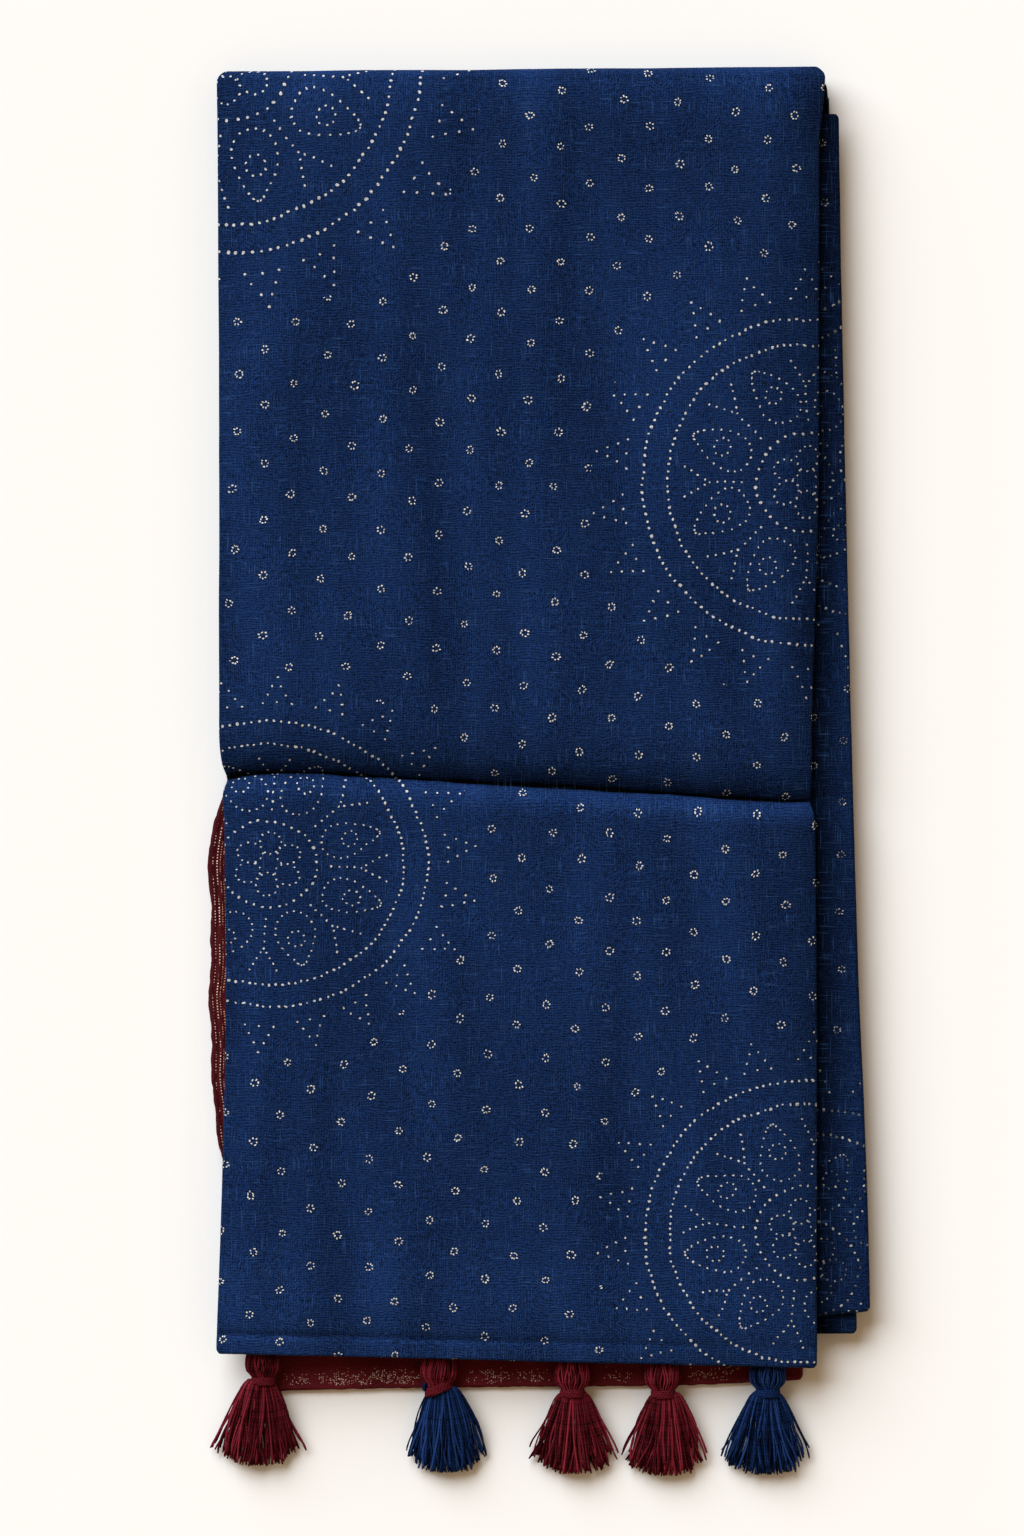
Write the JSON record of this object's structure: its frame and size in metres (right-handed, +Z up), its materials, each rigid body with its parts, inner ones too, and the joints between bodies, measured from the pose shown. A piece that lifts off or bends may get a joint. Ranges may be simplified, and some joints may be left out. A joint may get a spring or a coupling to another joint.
{
  "type": "folded bandhani sari",
  "caption": "Cotton tie-dyed sari folded into a long flat packet, creased across its middle, with a zari border and tassels at one end.",
  "frame": {"origin": "on the surface that the folded sari lies on, under the middle of its bounding box", "axes": "+Y up the length of the packet, away from its tassels; +X across it, to the side where the lower passes stick out; +Z up"},
  "size_m": [0.3175, 0.6776, 0.0254],
  "materials": {
    "ground_cloth": "matt handloom cotton, indigo, with small undyed tie-dye dots",
    "zari_border": "maroon cotton with fine supplementary metallic threads",
    "maroon_yarn": "plied cotton yarn, matt",
    "blue_yarn": "plied cotton yarn, matt"
  },
  "bodies": {
    "root": {"top_stretch": "ground_cloth", "second_stretch": "ground_cloth", "third_stretch": "ground_cloth", "inner_folds": "ground_cloth", "end_border": "zari_border", "side_border": "zari_border", "tassel_1": "maroon_yarn", "tassel_2": "blue_yarn", "tassel_3": "maroon_yarn", "tassel_4": "maroon_yarn", "tassel_5": "blue_yarn"}
  },
  "joints": []
}
